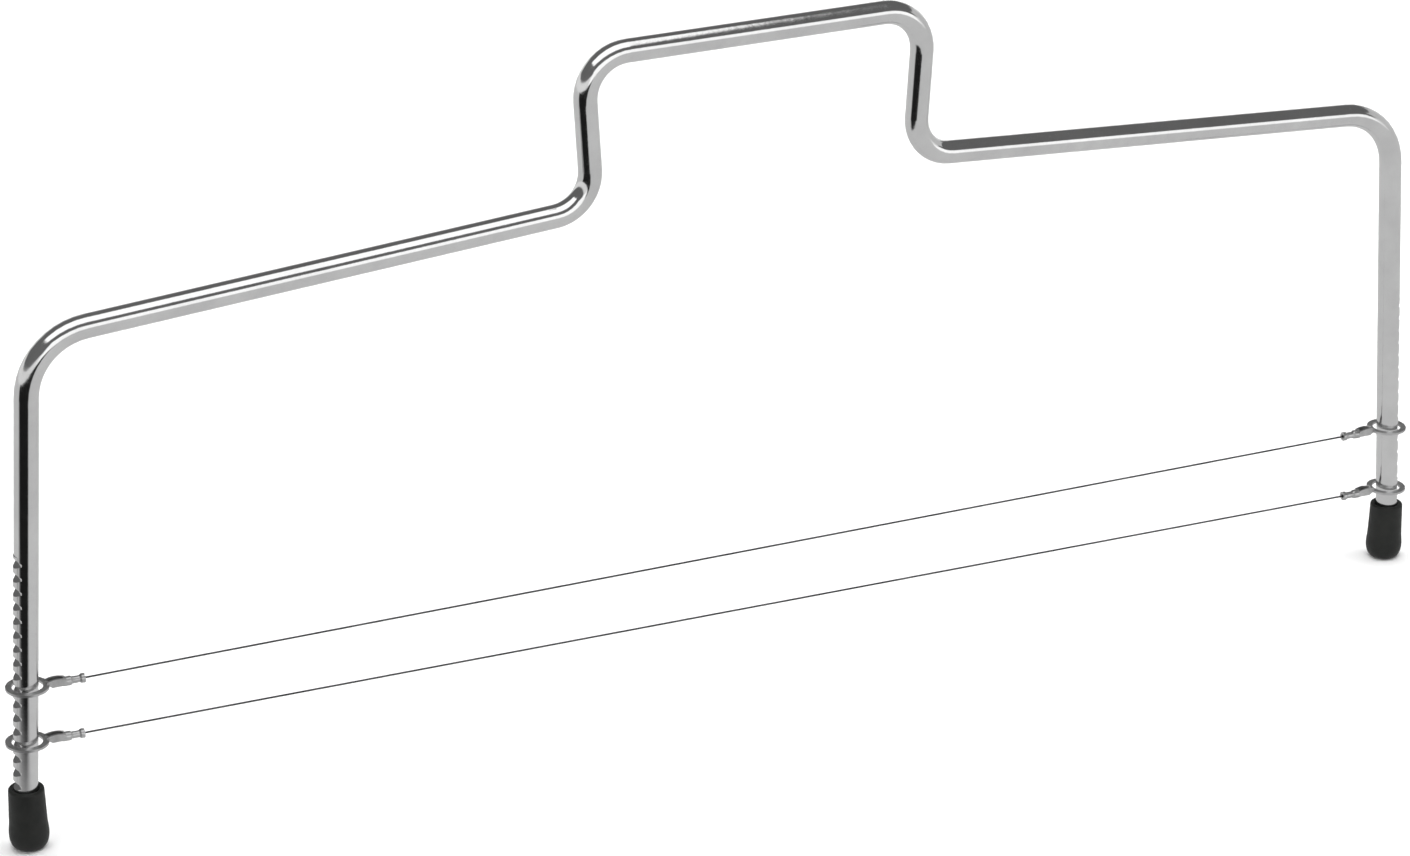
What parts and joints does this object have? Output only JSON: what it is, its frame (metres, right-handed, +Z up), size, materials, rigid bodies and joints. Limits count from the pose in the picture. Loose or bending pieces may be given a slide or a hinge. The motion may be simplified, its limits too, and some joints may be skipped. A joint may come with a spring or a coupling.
{
  "type": "cake leveler",
  "caption": "Hand-held wire cake leveler: a bent steel rod frame on rubber feet that draws thin cutting wires level through a cake.",
  "frame": {"origin": "on the standing surface, midway between the two rubber feet", "axes": "+X along the cutting wires from the left foot to the right foot, +Y across the thin direction away from the viewer, +Z up towards the grip"},
  "size_m": [0.3366, 0.0088, 0.1543],
  "materials": {
    "bright_rod": "bright nickel-chrome plate with faint lengthwise draw lines",
    "black_rubber": "smooth moulded black rubber, satin",
    "cutting_wire": "drawn stainless wire, dull grey",
    "plated_lug": "stamped sheet with a soft tin-nickel plate"
  },
  "bodies": {
    "frame": {"frame_rod": "bright_rod", "left_foot_cap": "black_rubber", "right_foot_cap": "black_rubber"},
    "upper_wire": {"upper_cutting_wire": "cutting_wire", "upper_left_ring_lug": "plated_lug", "upper_right_ring_lug": "plated_lug"},
    "lower_wire": {"lower_cutting_wire": "cutting_wire", "lower_left_ring_lug": "plated_lug", "lower_right_ring_lug": "plated_lug"}
  },
  "joints": [
    {"name": "upper_wire_height", "type": "slide", "parent": "frame", "child": "upper_wire", "axis": [0, 0, 1], "range_m": [-0.00308, 0.0123]},
    {"name": "lower_wire_height", "type": "slide", "parent": "frame", "child": "lower_wire", "axis": [0, 0, 1], "range_m": [-0.00308, 0.00615]}
  ]
}
